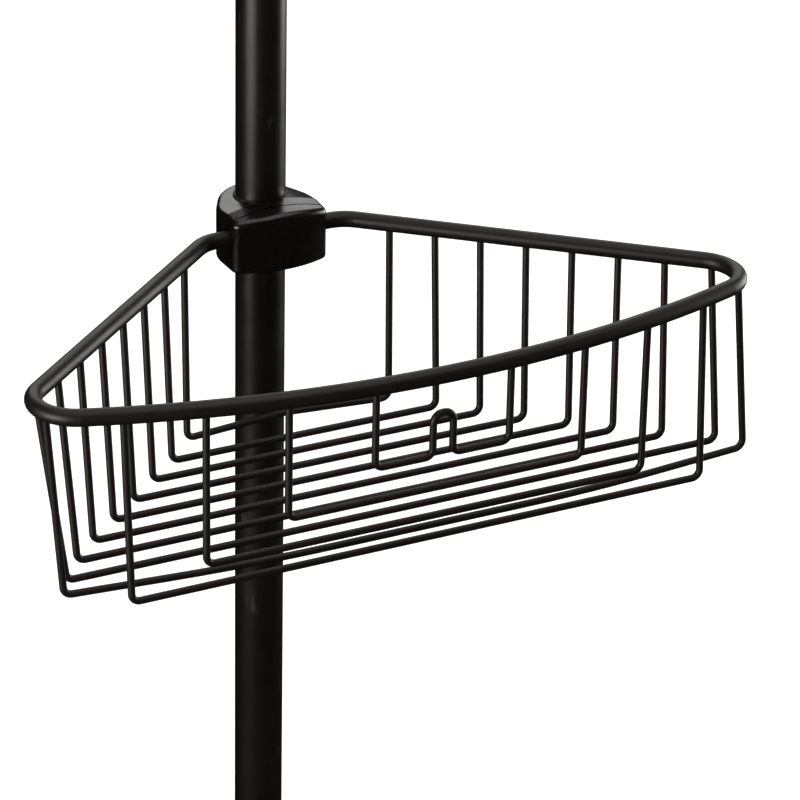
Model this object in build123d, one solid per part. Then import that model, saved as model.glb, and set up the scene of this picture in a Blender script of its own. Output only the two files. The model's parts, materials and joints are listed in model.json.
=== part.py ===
from build123d import *

import os
from math import acos, asin, atan2, cos, hypot, radians, sin, sqrt, tan

# A corner shower caddy: one wire basket clamped to a telescoping tension pole.
# Millimetres, +Z up. The pole's axis is Z, the floor pad's underside is z = 0,
# and the basket reaches forward along -Y.

# ---------------------------------------------------------------- clearances
RUNNING_GAP = 0.06  # radial, a part that slides or turns in another
LOOSE_GAP = 0.3  # between moving parts that only pass each other
SEAM_GAP = 0.8  # open joint line between the clamp's two halves
STOP_GAP = 0.2  # between a sliding part and its stop at rest
OVERCUT = 1.0  # how far a cutter runs past the face it opens
SAME_PLACE = 0.1  # points nearer than this count as one

# ---------------------------------------------------------------- pole
TUBE_R = 12.5
TUBE_WALL = 1.2
TUBE_LENGTH = 740.0
INNER_WALL = 1.0
INNER_LENGTH = 560.0
INNER_EXPOSED = 112.0  # how far the inner tube stands out of the outer one at rest
GUIDE_PLUG = 20.0
GUIDE_FLANGE = 10.0
GUIDE_WALL = 4.0

# ---------------------------------------------------------------- floor foot
CUP_R = TUBE_R + 13.5
CUP_RIM_HEIGHT = 5.0  # straight lower rim of the foot cup
CUP_HEIGHT = 42.0
CUP_FLARE_OUT = 0.3  # the flank's middle, as a share of the way out to the rim
CUP_FLARE_UP = 0.4  # and of the way up to the mouth
CUP_MOUTH_WALL = 3.0
CUP_FLOOR = 8.0  # solid plastic under the tube
SPIGOT_HEIGHT = 16.0  # inner peg that centres the tube
PAD_R = CUP_R + 3.0
PAD_HEIGHT = 7.0
PAD_SEAT = 3.5  # thickness of rubber under the foot cup
PAD_EDGE = 1.2
PAD_GROOVE_DEPTH = 0.8
PAD_GROOVE_WIDTH = 1.6
PAD_GROOVES = (12.0, 19.0)  # mean radii of the tread grooves

# ---------------------------------------------------------------- twist lock
SOCKET_R = TUBE_R + 2.5
SOCKET_SKIRT = 28.0  # length of socket over the outer tube
SOCKET_NECK = 18.0  # length of socket above the outer tube
SOCKET_FLANGE_R = SOCKET_R + 2.6
SOCKET_FLANGE = 7.0
SOCKET_BEAD = 0.6  # snap bead that keeps the collar on
SOCKET_BEAD_UP = 6.0  # from the flange to the middle of the bead
SOCKET_LAND = 4.0  # shoulder that carries the collet
COLLET_R = SOCKET_R - 1.3
COLLET_TIP_R = COLLET_R - 1.4
COLLET_HEIGHT = 21.0
COLLET_STRAIGHT = 9.0
COLLET_SLOT = 2.0
COLLAR_R = SOCKET_R + 3.6
COLLAR_ROOF = 6.0  # collar above the collet
COLLAR_FLUTES = 18
COLLAR_FLUTE_R = 1.5
COLLAR_EDGE = 2.0

# ---------------------------------------------------------------- sprung top
END_PLUG = 24.0
END_FLANGE_R = TUBE_R + 0.5
END_FLANGE = 6.0
ROD_R = 5.0
PLUNGER_HEAD_GAP = 0.6  # radial, inside the inner tube
PLUNGER_HEAD = 6.0
PLUNGER_PEG = 10.0
PLUNGER_TRAVEL = 25.0
TRAVEL_MARGIN = 4.0  # left under the top cup at full travel
SPRING_LENGTH = 80.0
SPRING_R = 7.4
SPRING_WIRE_R = 0.9
SPRING_TURNS = 12
SEAT_THICK = 10.0
SEAT_PEG = 8.0
TOP_CUP_R = 23.0
TOP_CUP_HEIGHT = 28.0
TOP_CUP_RIM = 5.0
TOP_CUP_FLARE_OUT = 0.35  # the flank's middle, as a share of the way out to the rim
TOP_CUP_FLARE_UP = 0.6  # and of the way up to it
TOP_CUP_WALL = 4.0
TOP_SOCKET = 18.0
TOP_PAD_R = TOP_CUP_R + 3.0
TOP_PAD_HEIGHT = 7.0
TOP_PAD_SEAT = 3.5

# ---------------------------------------------------------------- basket rim
RIM_HEIGHT = 420.0  # rim's centre plane above the floor
RIM_R = 4.15
SIDE_ANGLE = 48.75  # each side's angle from straight ahead, in degrees
SIDE_OFFSET = 19.45  # where the sides' lines cross the pole's plane y = 0
FRONT_R = 518.0  # radius of the bowed front
FRONT_REACH = 198.1  # from the pole's axis to the middle of the front
CORNER_R = 20.0
ENTRY_Y = TUBE_R + 3.3  # rod ends run into the clamp this far ahead of the pole's axis
ENTRY_BEND_R = 18.0
ENTRY_REACH = 3.5  # each rod runs this far past its screw's axis

# ---------------------------------------------------------------- basket wires
WIRE_R = 1.8
BASKET_DEPTH = 94.3  # rim centre to floor wire centre
WIRE_BEND = 4.2
SIDE_HOOPS = 8  # evenly spaced along the sides
SIDE_LEAD = 3.4  # the foremost side hoop is this far into the corner
SIDE_TAIL = 17.5  # the rearmost is this far from the bend at the clamp
SIDE_LEAN = 6.8  # a side hoop's floor run lies this far ahead of its ends
SIDE_TUCK = 0.5  # each hoop's floor narrows by this much more than the one behind
SIDE_SET_OVER = {7: 2.4, 8: 7.3}  # how far to the right these hoops' floors sit
BACK_LEAN = 2.6
BACK_POINT_Y = 28.0  # the back hoop's floor comes to a point this far from the pole's axis
BACK_POINT_BEND = 12.0
CORNER_HOOP_IN = 17.9  # how far into the corner its hoop hangs
CORNER_SPREAD = 0.7
CORNER_BOW = 9.0
CORNER_BOW_BEND = 800.0
CORNER_SET_OVER = 8.1
FRONT_STATION = 152.3
FRONT_LEAN = 1.4
FRONT_SET_OVER = 2.5
LOOPS = {  # station along the rim, and depth as a share of the basket's
    "front_loop_wide": (115.0, 0.834),
    "front_loop_narrow": (76.6, 0.637),
}
HOOK_STATION = 34.8
HOOK_SHARE = 0.437  # the hook loop's depth as a share of the basket's
HOOK_NOTCH = 10.4  # notch width between wire centres
HOOK_NOTCH_RISE = 21.5  # notch height between wire centres
HOOK_NOTCH_FOOT_BEND = 4.0
HOOK_NOTCH_CROWN_BEND = 4.7

# ---------------------------------------------------------------- clamp
CLAMP_HALF = TUBE_R + 13.0
CLAMP_BACK_R = TUBE_R + 8.9
CLAMP_WAIST_Y = -2.0  # where the straight sides end and the round back begins
CLAMP_WAIST_BEND = 24.0
CLAMP_FACE_Y = -TUBE_R - 17.5
CLAMP_FACE_R = 56.0
CLAMP_CORNER = 5.0
CLAMP_BELOW = 16.0  # rim centre to underside
CLAMP_ABOVE = 15.2  # rim centre to the crown
CLAMP_CROWN_R = 84.0
CLAMP_SEAM_Y = -ENTRY_Y - RIM_R - LOOSE_GAP
CLAMP_CREASE_Y = -TUBE_R - 0.5  # the roof's highest line
CLAMP_BACK_SLOPE = 5.0  # degrees, how the roof falls away behind the crease
CLAMP_FRONT_SLOPE = 5.5  # and ahead of it
CLAMP_TOP_EDGE = 3.4
CLAMP_LOW_EDGE = 1.6
SCREW_X = TUBE_R + 6.9
ENTRY_END_X = SCREW_X - ENTRY_REACH
CLAMP_FIT = 0.1  # radial, the clamp's cone on the sleeve
SLEEVE_FOOT_R = TUBE_R + 2.9
SLEEVE_LIP_R = TUBE_R + 1.0
SLEEVE_LIP = 14.4  # rim centre to the lip's top
SLEEVE_BELOW = 15.0
SLEEVE_SLOT = 3.0
SLEEVE_EDGE = 0.4
TONGUE_X = SCREW_X + 3.2  # inner end of the cover's tongues
TONGUE_GAP = 0.1
GROOVE_END_GAP = 0.4
SCREW_R = 1.25
SCREW_HOLE_GAP = 0.2
SCREW_HEAD_R = 2.25
SCREW_HEAD = 2.5
SCREW_HEAD_Y = -ENTRY_Y + RIM_R + 7.65  # face that the head bears on
SCREW_TIP_Y = CLAMP_SEAM_Y - 3.95
SCREW_DRIVE = 1.4
SCREW_DRIVE_R = 1.15
NUT_FLATS = 5.0
NUT_THICK = 2.0
NUT_Y = CLAMP_SEAM_Y - 2.95  # blind end of the nut pocket
NUT_GAP = 0.1

# ---------------------------------------------------------------- worked out
TUBE_BASE = PAD_SEAT + CUP_FLOOR
TUBE_TOP = TUBE_BASE + TUBE_LENGTH
TUBE_BORE = TUBE_R - TUBE_WALL
INNER_R = TUBE_BORE - LOOSE_GAP
INNER_BORE = INNER_R - INNER_WALL
GUIDE_BORE_R = INNER_BORE - GUIDE_WALL
SOCKET_BASE = TUBE_TOP - SOCKET_SKIRT
SOCKET_TOP = TUBE_TOP + SOCKET_NECK
COLLAR_BASE = SOCKET_BASE + SOCKET_FLANGE + LOOSE_GAP
COLLET_BASE = TUBE_TOP + SOCKET_LAND
COLLET_TOP = COLLET_BASE + COLLET_HEIGHT
COLLAR_TOP = COLLET_TOP + COLLAR_ROOF
BEAD_Z = SOCKET_BASE + SOCKET_FLANGE + SOCKET_BEAD_UP
PLUNGER_HEAD_R = INNER_BORE - PLUNGER_HEAD_GAP
INNER_TOP = TUBE_TOP + INNER_EXPOSED
INNER_BASE = INNER_TOP - INNER_LENGTH
HEAD_TOP = INNER_TOP - END_PLUG - STOP_GAP
SPRING_TOP = HEAD_TOP - PLUNGER_HEAD
SPRING_BASE = SPRING_TOP - SPRING_LENGTH
TOP_NECK_R = ROD_R + TOP_CUP_WALL
TOP_CUP_BASE = INNER_TOP + END_FLANGE + PLUNGER_TRAVEL + TRAVEL_MARGIN
FLOOR_Z = -BASKET_DEPTH
ARC_Y = FRONT_R - FRONT_REACH  # centre of the front's arc


def turned(*points):
    """A solid of revolution about Z from (radius, height) points."""
    outline = Polyline(*[(r, 0, z) for r, z in points], close=True)
    return revolve(make_face(outline), Axis.Z)


def ring(outer, inner, low, high):
    """A plain tube between two heights."""
    return turned((inner, low), (outer, low), (outer, high), (inner, high))


def rod_along(path, radius):
    """A round bar swept along a path, squared off at its ends."""
    start = Plane(origin=path @ 0, z_dir=path % 0)
    return sweep(start * Circle(radius), path=path)


def slot_behind(width, reach, low, high):
    """A cutter that splits a ring on its +Y side."""
    return Pos(0, reach / 2, (low + high) / 2) * Box(width, reach, high - low)


# ---------------------------------------------------------------- pole pieces
def floor_pad():
    """Rubber disc with a raised rim that holds the foot cup, and tread grooves."""
    pad = turned(
        (0, 0),
        (PAD_R - PAD_EDGE, 0),
        (PAD_R, PAD_EDGE),
        (PAD_R, PAD_HEIGHT - PAD_EDGE),
        (PAD_R - PAD_EDGE, PAD_HEIGHT),
        (CUP_R, PAD_HEIGHT),
        (CUP_R, PAD_SEAT),
        (0, PAD_SEAT),
    )
    half = PAD_GROOVE_WIDTH / 2
    for radius in PAD_GROOVES:
        pad -= ring(radius + half, radius - half, 0, PAD_GROOVE_DEPTH)
    return pad


def foot_cup():
    """Bell-shaped foot: the outer tube stands in it over a centring peg."""
    top = PAD_SEAT + CUP_HEIGHT
    mouth = TUBE_R + CUP_MOUTH_WALL
    rim = PAD_SEAT + CUP_RIM_HEIGHT
    flank = ThreePointArc(
        (CUP_R, 0, rim),
        (mouth + (CUP_R - mouth) * CUP_FLARE_OUT, 0, rim + (top - rim) * CUP_FLARE_UP),
        (mouth, 0, top),
    )
    rest = Polyline(
        (mouth, 0, top),
        (TUBE_R, 0, top),
        (TUBE_R, 0, TUBE_BASE),
        (TUBE_BORE, 0, TUBE_BASE),
        (TUBE_BORE, 0, TUBE_BASE + SPIGOT_HEIGHT),
        (0, 0, TUBE_BASE + SPIGOT_HEIGHT),
        (0, 0, PAD_SEAT),
        (CUP_R, 0, PAD_SEAT),
        (CUP_R, 0, rim),
    )
    return revolve(make_face([flank, *rest.edges()]), Axis.Z)


def outer_tube():
    """The lower tube, which the basket slides on."""
    return ring(TUBE_R, TUBE_BORE, TUBE_BASE, TUBE_TOP)


def inner_tube():
    """The upper tube, which telescopes out of the lower one."""
    return ring(INNER_R, INNER_BORE, INNER_BASE, INNER_TOP)


def guide_bush():
    """Plug in the inner tube's foot, with a flange that runs in the outer tube."""
    return turned(
        (GUIDE_BORE_R, INNER_BASE - GUIDE_FLANGE),
        (TUBE_BORE - RUNNING_GAP, INNER_BASE - GUIDE_FLANGE),
        (TUBE_BORE - RUNNING_GAP, INNER_BASE),
        (INNER_BORE, INNER_BASE),
        (INNER_BORE, INNER_BASE + GUIDE_PLUG),
        (GUIDE_BORE_R, INNER_BASE + GUIDE_PLUG),
    )


# ---------------------------------------------------------------- twist lock
def lock_socket():
    """Fixed sleeve on the outer tube's top, with a pocket for the collet."""
    low = SOCKET_BASE + SOCKET_FLANGE
    return turned(
        (TUBE_R, SOCKET_BASE),
        (SOCKET_FLANGE_R - PAD_EDGE, SOCKET_BASE),
        (SOCKET_FLANGE_R, SOCKET_BASE + PAD_EDGE),
        (SOCKET_FLANGE_R, low),
        (SOCKET_R, low),
        (SOCKET_R, BEAD_Z - SOCKET_BEAD),
        (SOCKET_R + SOCKET_BEAD, BEAD_Z),
        (SOCKET_R, BEAD_Z + SOCKET_BEAD),
        (SOCKET_R, SOCKET_TOP),
        (COLLET_R, SOCKET_TOP),
        (COLLET_R, COLLET_BASE),
        (TUBE_BORE, COLLET_BASE),
        (TUBE_BORE, TUBE_TOP),
        (TUBE_R, TUBE_TOP),
    )


def collet():
    """Split taper ring that the collar squeezes onto the inner tube."""
    bore = INNER_R + RUNNING_GAP
    body = turned(
        (bore, COLLET_BASE),
        (COLLET_R, COLLET_BASE),
        (COLLET_R, COLLET_BASE + COLLET_STRAIGHT),
        (COLLET_TIP_R, COLLET_TOP),
        (bore, COLLET_TOP),
    )
    return body - slot_behind(COLLET_SLOT, 2 * COLLET_R, COLLET_BASE, COLLET_TOP)


def twist_collar():
    """Fluted nut over the socket; its inner cone closes on the collet."""
    bore = SOCKET_R + LOOSE_GAP
    groove = SOCKET_BEAD + LOOSE_GAP
    ceiling = SOCKET_TOP + LOOSE_GAP
    body = turned(
        (bore, COLLAR_BASE),
        (COLLAR_R - PAD_EDGE, COLLAR_BASE),
        (COLLAR_R, COLLAR_BASE + PAD_EDGE),
        (COLLAR_R, COLLAR_TOP - 2 * COLLAR_EDGE),
        (COLLAR_R - COLLAR_EDGE, COLLAR_TOP - COLLAR_EDGE / 2),
        (COLLAR_R - 2 * COLLAR_EDGE, COLLAR_TOP),
        (INNER_R + LOOSE_GAP, COLLAR_TOP),
        (INNER_R + LOOSE_GAP, COLLET_TOP + LOOSE_GAP),
        (COLLET_TIP_R + LOOSE_GAP, COLLET_TOP + LOOSE_GAP),
        (COLLET_R + LOOSE_GAP, ceiling),
        (bore, ceiling),
        (bore, BEAD_Z + groove),
        (bore + SOCKET_BEAD, BEAD_Z),
        (bore, BEAD_Z - groove),
    )
    flute_height = COLLAR_TOP - 2 * COLLAR_EDGE - COLLAR_BASE - 2 * PAD_EDGE
    flute = Cylinder(COLLAR_FLUTE_R, flute_height)
    middle = COLLAR_BASE + 2 * PAD_EDGE + flute_height / 2
    for at in PolarLocations(COLLAR_R + COLLAR_FLUTE_R / 2, COLLAR_FLUTES):
        body -= Pos(0, 0, middle) * at * flute
    return body


# ---------------------------------------------------------------- sprung top
def end_bush():
    """Bush in the inner tube's mouth that guides the plunger rod."""
    bore = ROD_R + RUNNING_GAP
    return turned(
        (bore, INNER_TOP - END_PLUG),
        (INNER_BORE, INNER_TOP - END_PLUG),
        (INNER_BORE, INNER_TOP),
        (END_FLANGE_R, INNER_TOP),
        (END_FLANGE_R, INNER_TOP + END_FLANGE - PAD_EDGE),
        (END_FLANGE_R - PAD_EDGE, INNER_TOP + END_FLANGE),
        (bore, INNER_TOP + END_FLANGE),
    )


def spring_seat():
    """Plug fixed inside the inner tube, under the spring."""
    return turned(
        (0, SPRING_BASE - SEAT_THICK),
        (INNER_BORE, SPRING_BASE - SEAT_THICK),
        (INNER_BORE, SPRING_BASE),
        (ROD_R, SPRING_BASE),
        (ROD_R, SPRING_BASE + SEAT_PEG),
        (0, SPRING_BASE + SEAT_PEG),
    )


def pressure_spring():
    """Compression spring between the seat and the plunger's head."""
    height = SPRING_LENGTH - 2 * SPRING_WIRE_R
    foot = (0, 0, SPRING_BASE + SPRING_WIRE_R)
    coil = Helix(height / SPRING_TURNS, height, SPRING_R, center=foot)
    return rod_along(coil, SPRING_WIRE_R)


def plunger_rod():
    """Sliding rod with a wide head that stays inside the inner tube."""
    top = TOP_CUP_BASE + TOP_SOCKET
    return turned(
        (0, SPRING_TOP - PLUNGER_PEG),
        (ROD_R, SPRING_TOP - PLUNGER_PEG),
        (ROD_R, SPRING_TOP),
        (PLUNGER_HEAD_R, SPRING_TOP),
        (PLUNGER_HEAD_R, HEAD_TOP),
        (ROD_R, HEAD_TOP),
        (ROD_R, top),
        (0, top),
    )


def top_cup():
    """Plastic cap on the plunger rod, widening up to the ceiling pad."""
    top = TOP_CUP_BASE + TOP_CUP_HEIGHT
    rim = top - TOP_CUP_RIM
    middle_r = TOP_NECK_R + (TOP_CUP_R - TOP_NECK_R) * TOP_CUP_FLARE_OUT
    middle_z = TOP_CUP_BASE + (rim - TOP_CUP_BASE) * TOP_CUP_FLARE_UP
    flank = ThreePointArc((TOP_NECK_R, 0, TOP_CUP_BASE), (middle_r, 0, middle_z), (TOP_CUP_R, 0, rim))
    rest = Polyline(
        (TOP_CUP_R, 0, rim),
        (TOP_CUP_R, 0, top),
        (0, 0, top),
        (0, 0, TOP_CUP_BASE + TOP_SOCKET),
        (ROD_R, 0, TOP_CUP_BASE + TOP_SOCKET),
        (ROD_R, 0, TOP_CUP_BASE),
        (TOP_NECK_R, 0, TOP_CUP_BASE),
    )
    return revolve(make_face([flank, *rest.edges()]), Axis.Z)


def top_pad():
    """Rubber disc that presses on the ceiling."""
    seat = TOP_CUP_BASE + TOP_CUP_HEIGHT
    top = seat + TOP_PAD_SEAT
    low = top - TOP_PAD_HEIGHT
    return turned(
        (0, seat),
        (TOP_CUP_R, seat),
        (TOP_CUP_R, low),
        (TOP_PAD_R - PAD_EDGE, low),
        (TOP_PAD_R, low + PAD_EDGE),
        (TOP_PAD_R, top - PAD_EDGE),
        (TOP_PAD_R - PAD_EDGE, top),
        (0, top),
    )


# ---------------------------------------------------------------- basket rim
def rim_half():
    """The rim's centre line on +X, from the front's middle back to the rod's end in the clamp."""
    angle = radians(SIDE_ANGLE)
    along = Vector(sin(angle), -cos(angle))  # outward along the side
    out = Vector(cos(angle), sin(angle))  # away from the basket
    offset = SIDE_OFFSET * cos(angle)

    across = offset - CORNER_R - ARC_Y * sin(angle)
    run = sqrt((FRONT_R - CORNER_R) ** 2 - across**2) - ARC_Y * cos(angle)
    corner = out * (offset - CORNER_R) + along * run
    ahead = (corner - Vector(0, ARC_Y)).normalized()
    corner_front = corner + ahead * CORNER_R
    corner_middle = corner + (ahead + out).normalized() * CORNER_R
    corner_side = corner + out * CORNER_R

    half_turn = (radians(90) - angle) / 2
    reach = ENTRY_BEND_R * tan(half_turn)
    meeting = Vector((offset + ENTRY_Y * sin(angle)) / cos(angle), -ENTRY_Y)
    bend_side = meeting + along * reach
    bend_entry = meeting - Vector(reach, 0)
    bend_middle = bend_entry + Vector(sin(half_turn), cos(half_turn) - 1) * ENTRY_BEND_R

    spread = asin(corner_front.X / FRONT_R) / 2
    front_middle = Vector(FRONT_R * sin(spread), ARC_Y - FRONT_R * cos(spread))
    return Wire(
        [
            ThreePointArc((0, -FRONT_REACH), front_middle, corner_front),
            ThreePointArc(corner_front, corner_middle, corner_side),
            Line(corner_side, bend_side),
            ThreePointArc(bend_side, bend_middle, bend_entry),
            Line(bend_entry, (ENTRY_END_X, -ENTRY_Y)),
        ]
    )


def rim_rod(half):
    """One bent rod: both ends run into the clamp, where a screw crosses each."""
    right = rod_along(half, RIM_R)
    rod = right + mirror(right, Plane.YZ)
    for x in (-SCREW_X, SCREW_X):
        rod -= along_y(SCREW_R + SCREW_HOLE_GAP, x, -ENTRY_Y - RIM_R, -ENTRY_Y + RIM_R)
    return rod


def along_y(radius, x, low, high):
    """A cylinder parallel to Y at the rim's height."""
    return Pos(x, (low + high) / 2, 0) * Rot(90, 0, 0) * Cylinder(radius, high - low)


# ---------------------------------------------------------------- basket wires
def station(half, length):
    """A point on the rim's centre line, this far along it from the front's middle."""
    return half.position_at(length, position_mode=PositionMode.LENGTH)


def bent_wire(points, bends, rim):
    """A wire through 3-D points, its ends shaped to sit on the rim's underside."""
    return rod_along(FilletPolyline(*points, radius=bends), WIRE_R) - rim


def u_points(top, lean, tuck, set_over, depth=BASKET_DEPTH):
    """Left end, left foot, right foot and right end of a plain hoop."""
    foot = top.X - tuck
    y = top.Y - lean
    return [
        (-top.X, top.Y, 0),
        (set_over - foot, y, -depth),
        (set_over + foot, y, -depth),
        (top.X, top.Y, 0),
    ]


def side_hoops(half, rim):
    """The hoops hung from the two sides, numbered from the clamp forward."""
    front, corner, side = (edge.length for edge in half.edges()[:3])
    foremost = front + corner - SIDE_LEAD
    rearmost = front + corner + side - SIDE_TAIL
    pitch = (rearmost - foremost) / (SIDE_HOOPS - 1)
    hoops = {}
    for number in range(1, SIDE_HOOPS + 1):
        top = station(half, rearmost - pitch * (number - 1))
        tuck = SIDE_TUCK * (number - 1)
        set_over = SIDE_SET_OVER.get(number, 0)
        if number == 1:
            points = u_points(top, BACK_LEAN, tuck, set_over)
            points.insert(2, (0, -BACK_POINT_Y, FLOOR_Z))
            bends = [WIRE_BEND, BACK_POINT_BEND, WIRE_BEND]
        else:
            points = u_points(top, SIDE_LEAN, tuck, set_over)
            bends = WIRE_BEND
        hoops[f"floor_hoop_{number}"] = bent_wire(points, bends, rim)
    return hoops


def corner_hoop(half, rim):
    """The hoop from the rounded corners, whose floor run bows forward."""
    top = station(half, half.edges()[0].length + CORNER_HOOP_IN)
    points = u_points(top, 0, -CORNER_SPREAD, CORNER_SET_OVER)
    half_foot = (top.X + CORNER_SPREAD) / 2
    bow = [(CORNER_SET_OVER + x, top.Y - CORNER_BOW, FLOOR_Z) for x in (-half_foot, half_foot)]
    bends = [WIRE_BEND, CORNER_BOW_BEND, CORNER_BOW_BEND, WIRE_BEND]
    return bent_wire(points[:2] + bow + points[2:], bends, rim)


def front_hoop(half, rim):
    """The foremost hoop that reaches the floor."""
    points = u_points(station(half, FRONT_STATION), FRONT_LEAN, 0, FRONT_SET_OVER)
    return bent_wire(points, WIRE_BEND, rim)


def front_loops(half, rim):
    """Shallower loops nested in the front wall."""
    loops = {}
    for name, (length, share) in LOOPS.items():
        points = u_points(station(half, length), 0, 0, 0, BASKET_DEPTH * share)
        loops[name] = bent_wire(points, WIRE_BEND, rim)
    return loops


def hook_loop(half, rim):
    """The middle front loop, with a notch for a razor or a hook."""
    top = station(half, HOOK_STATION)
    foot_z = -BASKET_DEPTH * HOOK_SHARE
    crown_z = foot_z + HOOK_NOTCH_RISE
    points = u_points(top, 0, 0, 0, -foot_z)
    notch = [
        (-HOOK_NOTCH / 2, top.Y, foot_z),
        (-HOOK_NOTCH / 2, top.Y, crown_z),
        (HOOK_NOTCH / 2, top.Y, crown_z),
        (HOOK_NOTCH / 2, top.Y, foot_z),
    ]
    foot, crown = HOOK_NOTCH_FOOT_BEND, HOOK_NOTCH_CROWN_BEND
    bends = [WIRE_BEND, foot, crown, crown, foot, WIRE_BEND]
    return bent_wire(points[:2] + notch + points[2:], bends, rim)


# ---------------------------------------------------------------- clamp
def clamp_outline():
    """The whole clamp seen from above: round back, straight sides, bowed face."""
    waist = hypot(CLAMP_HALF, CLAMP_WAIST_Y)
    touch = atan2(CLAMP_WAIST_Y, CLAMP_HALF) + acos(CLAMP_BACK_R / waist)
    shoulder = (CLAMP_BACK_R * cos(touch), CLAMP_BACK_R * sin(touch))
    face_y = CLAMP_FACE_Y + CLAMP_FACE_R - sqrt(CLAMP_FACE_R**2 - CLAMP_HALF**2)
    side = Polyline(shoulder, (CLAMP_HALF, CLAMP_WAIST_Y), (CLAMP_HALF, face_y))
    back = ThreePointArc(shoulder, (0, CLAMP_BACK_R), (-shoulder[0], shoulder[1]))
    face = ThreePointArc((-CLAMP_HALF, face_y), (0, CLAMP_FACE_Y), (CLAMP_HALF, face_y))
    outline = make_face([*side.edges(), face, *mirror(side, Plane.YZ).edges(), back])
    outline = fillet(outline.vertices().filter_by(lambda v: v.Y < CLAMP_SEAM_Y), CLAMP_CORNER)
    waists = outline.vertices().filter_by(lambda v: abs(v.Y - CLAMP_WAIST_Y) < SAME_PLACE)
    return fillet(waists, CLAMP_WAIST_BEND)


def crown(tilt):
    """A lying cylinder whose top line is the clamp's roof, tilted about the crease."""
    length = 6 * CLAMP_HALF  # well past the clamp at both ends
    lying = Pos(0, 0, -CLAMP_CROWN_R) * Rot(90, 0, 0) * Cylinder(CLAMP_CROWN_R, length)
    return Pos(0, CLAMP_CREASE_Y, CLAMP_ABOVE) * Rot(-tilt, 0, 0) * lying


def clamp_block():
    """The closed clamp with its roof, before it is split and bored."""
    block = extrude(Pos(0, 0, -CLAMP_BELOW) * clamp_outline(), CLAMP_BELOW + CLAMP_ABOVE)
    block = block & crown(-CLAMP_FRONT_SLOPE) & crown(CLAMP_BACK_SLOPE)
    roof = block.edges().filter_by(lambda e: e.center().Z > 0 and not is_crease(e))
    block = fillet(roof, CLAMP_TOP_EDGE)
    return fillet(block.edges().group_by(Axis.Z)[0], CLAMP_LOW_EDGE)


def is_crease(edge):
    """Whether an edge is the line where the roof starts to fall."""
    middle = edge.center()
    return abs(middle.X) < SAME_PLACE and abs(middle.Y - CLAMP_CREASE_Y) < SAME_PLACE


def sleeve_radius(z):
    """Outer radius of the sleeve's taper at a height from the rim's centre."""
    slope = (SLEEVE_LIP_R - SLEEVE_FOOT_R) / (SLEEVE_LIP + SLEEVE_BELOW)
    return SLEEVE_FOOT_R + slope * (z + SLEEVE_BELOW)


def grip_sleeve():
    """Split taper sleeve round the pole, which the clamp wedges onto."""
    bore = TUBE_R + RUNNING_GAP
    body = turned(
        (bore, -SLEEVE_BELOW),
        (SLEEVE_FOOT_R, -SLEEVE_BELOW),
        (sleeve_radius(SLEEVE_LIP - SLEEVE_EDGE), SLEEVE_LIP - SLEEVE_EDGE),
        (SLEEVE_LIP_R - SLEEVE_EDGE, SLEEVE_LIP),
        (bore, SLEEVE_LIP),
    )
    return body - slot_behind(SLEEVE_SLOT, 2 * SLEEVE_FOOT_R, -SLEEVE_BELOW, SLEEVE_LIP)


def clamp_bore():
    """Tapered hole that fits the sleeve."""
    low, high = -CLAMP_BELOW - OVERCUT, CLAMP_ABOVE + OVERCUT
    r_low, r_high = sleeve_radius(low) + CLAMP_FIT, sleeve_radius(high) + CLAMP_FIT
    return turned((0, low), (r_low, low), (r_high, high), (0, high))


def along_x(radius, side, inner, outer):
    """A round bar on the line of the rod's end, on one side of the clamp."""
    middle = side * (inner + outer) / 2
    return Pos(middle, -ENTRY_Y, 0) * Rot(0, 90, 0) * Cylinder(radius, outer - inner)


def box_from(low, high):
    """A box between two opposite corners."""
    size = [b - a for a, b in zip(low, high)]
    middle = [(a + b) / 2 for a, b in zip(low, high)]
    return Pos(*middle) * Box(*size)


def clamp_body(block):
    """Rear part: runs right round the pole, with a groove for each rod's end."""
    cut_y = CLAMP_SEAM_Y + SEAM_GAP / 2
    reach = 2 * CLAMP_HALF
    body = block - box_from((-reach, -reach, -reach), (reach, cut_y, reach)) - clamp_bore()
    for side in (-1, 1):
        inner = ENTRY_END_X - GROOVE_END_GAP
        body -= along_x(RIM_R, side, inner, reach)
        ends = sorted((side * inner, side * reach))
        body -= box_from((ends[0], -reach, -RIM_R), (ends[1], -ENTRY_Y, RIM_R))
        x = side * SCREW_X
        body -= along_y(SCREW_R + SCREW_HOLE_GAP, x, cut_y, SCREW_HEAD_Y)
        body -= along_y(SCREW_HEAD_R + SCREW_HOLE_GAP, x, SCREW_HEAD_Y, CLAMP_BACK_R)
    return body


def clamp_cover(block):
    """Front part: the bowed face, with tongues that close the rods' grooves."""
    cut_y = CLAMP_SEAM_Y - SEAM_GAP / 2
    reach = 2 * CLAMP_HALF
    cover = block - box_from((-reach, cut_y, -reach), (reach, reach, reach))
    half_height = RIM_R - TONGUE_GAP
    for side in (-1, 1):
        ends = sorted((side * TONGUE_X, side * CLAMP_HALF))
        tongue = box_from((ends[0], cut_y, -half_height), (ends[1], -ENTRY_Y, half_height))
        cover += tongue - along_x(RIM_R, side, 0, reach)
        x = side * SCREW_X
        cover -= along_y(SCREW_R + SCREW_HOLE_GAP, x, SCREW_TIP_Y - SCREW_HOLE_GAP, cut_y)
        cover -= hexagon(NUT_FLATS + 2 * NUT_GAP, x, NUT_Y, cut_y)
    return cover


def hexagon(flats, x, low, high):
    """A hexagonal bar parallel to Y at the rim's height."""
    face = RegularPolygon(flats / 2, 6, major_radius=False)
    return Pos(x, high, 0) * Rot(90, 0, 0) * extrude(face, high - low)


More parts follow.
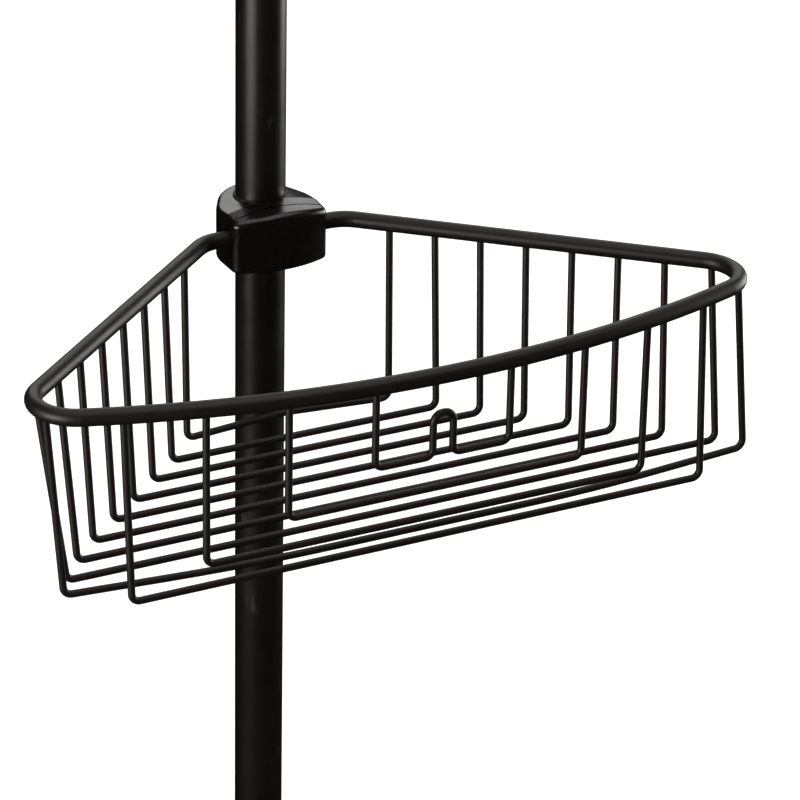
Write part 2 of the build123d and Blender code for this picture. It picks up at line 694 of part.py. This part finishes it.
def clamp_screws():
    """Two cap screws, one through each end of the rim rod."""
    screws = []
    for x in (-SCREW_X, SCREW_X):
        head_top = SCREW_HEAD_Y + SCREW_HEAD
        screw = along_y(SCREW_R, x, SCREW_TIP_Y, SCREW_HEAD_Y)
        screw += along_y(SCREW_HEAD_R, x, SCREW_HEAD_Y, head_top)
        screws.append(screw - hexagon(2 * SCREW_DRIVE_R, x, head_top - SCREW_DRIVE, head_top))
    return screws


def clamp_nuts():
    """Two hexagonal nuts, in the cover."""
    nuts = []
    for x in (-SCREW_X, SCREW_X):
        nut = hexagon(NUT_FLATS, x, NUT_Y, NUT_Y + NUT_THICK)
        nuts.append(nut - along_y(SCREW_R, x, NUT_Y, NUT_Y + NUT_THICK))
    return nuts


# ---------------------------------------------------------------- all pieces
def basket_pieces():
    """Every piece carried by the clamp, with the rim's centre plane at z = 0."""
    half = rim_half()
    rim = rim_rod(half)
    block = clamp_block()
    return {
        "grip_sleeve": grip_sleeve(),
        "clamp_body": clamp_body(block),
        "clamp_cover": clamp_cover(block),
        "clamp_screws": clamp_screws(),
        "clamp_nuts": clamp_nuts(),
        "rim_rod": rim,
        **side_hoops(half, rim),
        f"floor_hoop_{SIDE_HOOPS + 1}": corner_hoop(half, rim),
        f"floor_hoop_{SIDE_HOOPS + 2}": front_hoop(half, rim),
        **front_loops(half, rim),
        "hook_loop": hook_loop(half, rim),
    }


def pole_pieces():
    """Every piece of the tension pole, standing on the floor."""
    makers = [floor_pad, foot_cup, outer_tube, inner_tube, guide_bush, lock_socket, collet]
    makers += [twist_collar, end_bush, spring_seat, pressure_spring, plunger_rod, top_cup, top_pad]
    return {maker.__name__: maker() for maker in makers}


def save(name, piece, lift):
    """Write one node: a single solid or a group of like solids."""
    group = piece if isinstance(piece, list) else [piece]
    solids = [Pos(0, 0, lift) * one for one in group]
    export_step(Compound(children=solids) if len(solids) > 1 else solids[0], f"parts/{name}.step")


os.makedirs("parts", exist_ok=True)
for name, piece in pole_pieces().items():
    save(name, piece, 0)
for name, piece in basket_pieces().items():
    save(name, piece, RIM_HEIGHT)
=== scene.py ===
import json
from math import cos, radians, sin

import bpy
from mathutils import Matrix, Vector


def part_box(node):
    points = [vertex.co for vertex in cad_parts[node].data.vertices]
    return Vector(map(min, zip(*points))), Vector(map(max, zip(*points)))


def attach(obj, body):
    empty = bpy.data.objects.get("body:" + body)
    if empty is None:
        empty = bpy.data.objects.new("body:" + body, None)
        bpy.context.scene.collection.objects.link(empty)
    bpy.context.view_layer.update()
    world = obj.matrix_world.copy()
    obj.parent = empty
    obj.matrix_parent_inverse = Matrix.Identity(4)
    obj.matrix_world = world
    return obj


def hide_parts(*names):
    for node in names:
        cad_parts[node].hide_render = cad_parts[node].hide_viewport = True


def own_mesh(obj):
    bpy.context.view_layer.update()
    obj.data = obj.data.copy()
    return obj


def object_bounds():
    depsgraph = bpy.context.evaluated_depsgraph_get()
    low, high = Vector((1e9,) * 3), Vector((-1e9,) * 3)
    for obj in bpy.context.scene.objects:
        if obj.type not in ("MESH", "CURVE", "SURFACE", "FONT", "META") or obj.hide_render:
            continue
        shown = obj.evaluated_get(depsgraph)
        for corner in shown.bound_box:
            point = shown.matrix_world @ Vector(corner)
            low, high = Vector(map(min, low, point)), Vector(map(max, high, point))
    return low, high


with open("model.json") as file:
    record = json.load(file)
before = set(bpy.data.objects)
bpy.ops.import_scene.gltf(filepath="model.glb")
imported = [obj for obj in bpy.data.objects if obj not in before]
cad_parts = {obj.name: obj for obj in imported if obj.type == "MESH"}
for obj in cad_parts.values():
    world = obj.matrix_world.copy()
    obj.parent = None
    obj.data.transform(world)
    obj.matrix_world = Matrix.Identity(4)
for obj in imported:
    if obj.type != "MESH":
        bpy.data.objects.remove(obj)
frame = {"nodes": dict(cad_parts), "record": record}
cad_low, cad_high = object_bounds()

# ---------------------------------------------------------------- camera
VIEW_AZIMUTH = radians(-27.6)
VIEW_ELEVATION = radians(25.7)
VIEW_ROLL = radians(1.2)
VIEW_DISTANCE = 1.944
LENS_MM = 176.5
AIM_RIGHT = 0.0711  # metres the camera's axis passes right of the pole
AIM_UP = -0.0883  # and above the rim, so it passes below
SENSOR_MM = 36

# ---------------------------------------------------------------- studio
SOFTBOXES = [  # name, place, width, height, watts
    ("overhead", (0.2, -0.3, 3.2), 3.5, 3.5, 55),
    ("left", (-1.45, -0.52, 0.42), 1.0, 0.8, 27),
    ("right", (1.5, 0.0, 0.42), 0.9, 0.8, 17),
    ("back", (1.4, 2.7, 2.0), 3.2, 1.6, 35),
]
WORLD_STRENGTH = 0.75
FLOOR_HALF = 40  # half the floor's side, in metres

# ---------------------------------------------------------------- finishes
COATS = {  # darker tone, lighter tone, roughness
    "basket_coat": ((0.0038, 0.0023, 0.0017), (0.0054, 0.0035, 0.0027), 0.45),
    "pole_coat": ((0.0029, 0.0018, 0.0014), (0.004, 0.0027, 0.0022), 0.33),
}
PLASTICS = {  # darker tone, lighter tone, roughness, grain in metres, specular level
    "clamp_plastic": ((0.0022, 0.0017, 0.0015), (0.003, 0.0023, 0.0021), 0.25, 0.000002, 0.5),
    "sleeve_plastic": ((0.006, 0.0055, 0.005), (0.01, 0.0095, 0.009), 0.45, 0.00001, 0.4),
    "cup_plastic": ((0.01, 0.01, 0.01), (0.018, 0.0175, 0.017), 0.45, 0.00003, 0.4),
    "bush_plastic": ((0.5, 0.49, 0.46), (0.62, 0.61, 0.58), 0.45, 0.00001, 0.4),
}
COAT_TINT = (1.0, 0.92, 0.88, 1)  # warm highlights
COAT_RUB = (0.012, 0.0098, 0.0085)
PLASTIC_RUB = 2.2  # how much paler a handling mark is than the lighter tone
SHEEN_BELOW = 0.03  # how far roughness drifts below and above its value
SHEEN_ABOVE = 0.04
RUB_EDGES = (0.66, 0.74)  # the part of the noise that shows as a rub


def add_camera():
    """The photograph's viewpoint, measured from the pole's axis at the rim's height."""
    low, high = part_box("rim_rod")
    pivot = Vector((0, 0, (low.z + high.z) / 2))
    back = Vector(
        (
            sin(VIEW_AZIMUTH) * cos(VIEW_ELEVATION),
            -cos(VIEW_AZIMUTH) * cos(VIEW_ELEVATION),
            sin(VIEW_ELEVATION),
        )
    )
    right = Vector((cos(VIEW_AZIMUTH), sin(VIEW_AZIMUTH), 0))
    up = back.cross(right)
    axes = Matrix((right, up, back)).transposed()
    camera = bpy.data.objects.new("camera", bpy.data.cameras.new("camera"))
    camera.data.sensor_width = SENSOR_MM
    camera.data.lens = LENS_MM
    turn = axes @ Matrix.Rotation(VIEW_ROLL, 3, "Z")
    place = pivot + back * VIEW_DISTANCE + right * AIM_RIGHT + up * AIM_UP
    camera.matrix_world = Matrix.Translation(place) @ turn.to_4x4()
    bpy.context.scene.collection.objects.link(camera)
    bpy.context.scene.camera = camera


# ---------------------------------------------------------------- light and floor
def add_softbox(name, place, aim, width, height, power):
    """A rectangular area light, hidden from the camera."""
    light = bpy.data.lights.new(name, "AREA")
    light.shape = "RECTANGLE"
    light.size = width
    light.size_y = height
    light.energy = power
    box = bpy.data.objects.new(name, light)
    box.location = place
    box.rotation_euler = (Vector(place) - Vector(aim)).to_track_quat("Z", "Y").to_euler()
    box.visible_camera = False
    bpy.context.scene.collection.objects.link(box)


def add_studio():
    """White floor, a pale world and large soft lights."""
    middle = (cad_low + cad_high) / 2
    for name, place, width, height, power in SOFTBOXES:
        add_softbox(name, place, middle, width, height, power)

    world = bpy.data.worlds.new("studio")
    world.use_nodes = True
    background = world.node_tree.nodes["Background"]
    background.inputs["Color"].default_value = (1, 1, 1, 1)
    background.inputs["Strength"].default_value = WORLD_STRENGTH
    world.cycles_visibility.glossy = False
    bpy.context.scene.world = world

    mesh = bpy.data.meshes.new("floor")
    turns = [(-1, -1), (1, -1), (1, 1), (-1, 1)]
    corners = [(x * FLOOR_HALF, y * FLOOR_HALF, 0) for x, y in turns]
    mesh.from_pydata(corners, [], [(0, 1, 2, 3)])
    floor = bpy.data.objects.new("floor", mesh)
    bpy.context.scene.collection.objects.link(floor)
    mesh.materials.append(floor_paint())
    floor.visible_glossy = False
    bpy.context.scene.view_settings.view_transform = "Standard"


def floor_paint():
    """Matt white with the faintest mottle."""
    material, nodes, links, shader = new_material("floor_paint")
    colour_noise(nodes, links, shader, 3.0, (0.86, 0.86, 0.86), (0.9, 0.9, 0.9))
    shader.inputs["Roughness"].default_value = 0.9
    shader.inputs["Specular IOR Level"].default_value = 0.1
    return material


# ---------------------------------------------------------------- materials
def new_material(name):
    """A node material with its Principled shader."""
    material = bpy.data.materials.new(name)
    material.use_nodes = True
    nodes = material.node_tree.nodes
    return material, nodes, material.node_tree.links, nodes["Principled BSDF"]


def noise(nodes, links, scale, detail=4.0, stretch=None):
    """Noise in the object's own metres, so the grain has a real size."""
    place = nodes.new("ShaderNodeTexCoord")
    texture = nodes.new("ShaderNodeTexNoise")
    texture.inputs["Scale"].default_value = scale
    texture.inputs["Detail"].default_value = detail
    source = place.outputs["Object"]
    if stretch:
        mapping = nodes.new("ShaderNodeMapping")
        mapping.inputs["Scale"].default_value = stretch
        links.new(source, mapping.inputs["Vector"])
        source = mapping.outputs["Vector"]
    links.new(source, texture.inputs["Vector"])
    return texture.outputs["Fac"]


def ramp(nodes, links, source, low, high, start=0.3, end=0.7):
    """Two colours or values spread over a stretch of a 0 to 1 source."""
    blend = nodes.new("ShaderNodeValToRGB")
    first, last = blend.color_ramp.elements
    first.position, last.position = start, end
    first.color = (*low, 1) if isinstance(low, tuple) else (low, low, low, 1)
    last.color = (*high, 1) if isinstance(high, tuple) else (high, high, high, 1)
    links.new(source, blend.inputs["Fac"])
    return blend.outputs["Color"]


def colour_noise(nodes, links, shader, scale, low, high):
    """Base colour that drifts between two tones."""
    colour = ramp(nodes, links, noise(nodes, links, scale), low, high)
    links.new(colour, shader.inputs["Base Color"])


def rough_noise(nodes, links, shader, scale, low, high, stretch=None):
    """Roughness that drifts between two values."""
    value = ramp(nodes, links, noise(nodes, links, scale, 5.0, stretch), low, high)
    links.new(value, shader.inputs["Roughness"])


def worn(nodes, links, shader, scale, tone, stretch=None):
    """Sparse rubs of another tone over the base colour."""
    base = shader.inputs["Base Color"].links[0].from_socket
    mask = ramp(nodes, links, noise(nodes, links, scale, 6.0, stretch), 0.0, 1.0, *RUB_EDGES)
    mix = nodes.new("ShaderNodeMix")
    mix.data_type = "RGBA"
    factor, under, over = mix.inputs[0], mix.inputs[6], mix.inputs[7]
    links.new(mask, factor)
    links.new(base, under)
    over.default_value = (*tone, 1)
    links.new(mix.outputs[2], shader.inputs["Base Color"])


def bump(nodes, links, shader, layers):
    """Stacked bumps from (noise scale, height in metres, stretch)."""
    normal = None
    for scale, height, stretch in layers:
        step = nodes.new("ShaderNodeBump")
        step.inputs["Strength"].default_value = 1.0
        step.inputs["Distance"].default_value = height
        links.new(noise(nodes, links, scale, 3.0, stretch), step.inputs["Height"])
        if normal:
            links.new(normal, step.inputs["Normal"])
        normal = step.outputs["Normal"]
    links.new(normal, shader.inputs["Normal"])


def powder_coat(name, dark, light, rough):
    """Satin black powder coat: orange peel, faint mottle, uneven sheen and small rubs."""
    material, nodes, links, shader = new_material(name)
    colour_noise(nodes, links, shader, 45.0, dark, light)
    worn(nodes, links, shader, 130.0, COAT_RUB, (1, 1, 0.35))
    rough_noise(nodes, links, shader, 70.0, rough - SHEEN_BELOW, rough + SHEEN_ABOVE)
    bump(nodes, links, shader, [(900.0, 0.000012, None), (2600.0, 0.000005, None)])
    shader.inputs["Specular IOR Level"].default_value = 0.35
    shader.inputs["Specular Tint"].default_value = COAT_TINT
    return material


def moulded(name, dark, light, rough, grain, specular):
    """Injection-moulded plastic: spark-eroded grain, flow mottle and handling marks."""
    material, nodes, links, shader = new_material(name)
    colour_noise(nodes, links, shader, 60.0, dark, light)
    worn(nodes, links, shader, 240.0, tuple(PLASTIC_RUB * tone for tone in light), (1, 0.3, 1))
    rough_noise(nodes, links, shader, 110.0, rough - SHEEN_BELOW, rough + SHEEN_ABOVE)
    bump(nodes, links, shader, [(1500.0, grain, None)])
    shader.inputs["Specular IOR Level"].default_value = specular
    return material


def rubber():
    """Matt black rubber with a dusty bloom."""
    material, nodes, links, shader = new_material("rubber")
    colour_noise(nodes, links, shader, 80.0, (0.014, 0.014, 0.014), (0.03, 0.029, 0.028))
    worn(nodes, links, shader, 90.0, (0.06, 0.058, 0.055))
    rough_noise(nodes, links, shader, 160.0, 0.72, 0.92)
    bump(nodes, links, shader, [(1200.0, 0.00004, None)])
    shader.inputs["Specular IOR Level"].default_value = 0.3
    return material


def steel(name, stretch):
    """Bright steel with fine drawn or turned lines."""
    material, nodes, links, shader = new_material(name)
    colour_noise(nodes, links, shader, 200.0, (0.42, 0.42, 0.43), (0.6, 0.6, 0.6))
    worn(nodes, links, shader, 300.0, (0.3, 0.29, 0.28), stretch)
    rough_noise(nodes, links, shader, 500.0, 0.22, 0.42, stretch)
    bump(nodes, links, shader, [(1500.0, 0.00001, stretch)])
    shader.inputs["Metallic"].default_value = 1.0
    return material


def paint_nodes():
    """Give every CAD node the finish of its slot in the record."""
    finishes = {name: powder_coat(name, *look) for name, look in COATS.items()}
    finishes |= {name: moulded(name, *look) for name, look in PLASTICS.items()}
    finishes["rubber"] = rubber()
    finishes["fastener_steel"] = steel("fastener_steel", (1, 8, 1))
    finishes["spring_steel"] = steel("spring_steel", (1, 1, 8))
    for part in frame["record"]["subparts"]:
        mesh = frame["nodes"][part["node"]].data
        mesh.materials.clear()
        mesh.materials.append(finishes[part["material_slot"]])


def add_live_spring():
    """The pressure spring as a copy of its own, carried by the upper pole in place of the CAD
    node.
    """
    node = frame["nodes"]["pressure_spring"]
    spring = bpy.data.objects.new("live_spring", node.data.copy())
    bpy.context.scene.collection.objects.link(spring)
    spring.matrix_world = node.matrix_world.copy()
    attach(spring, "upper_pole")
    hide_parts("pressure_spring")
    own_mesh(spring)


add_camera()
add_studio()
paint_nodes()
add_live_spring()
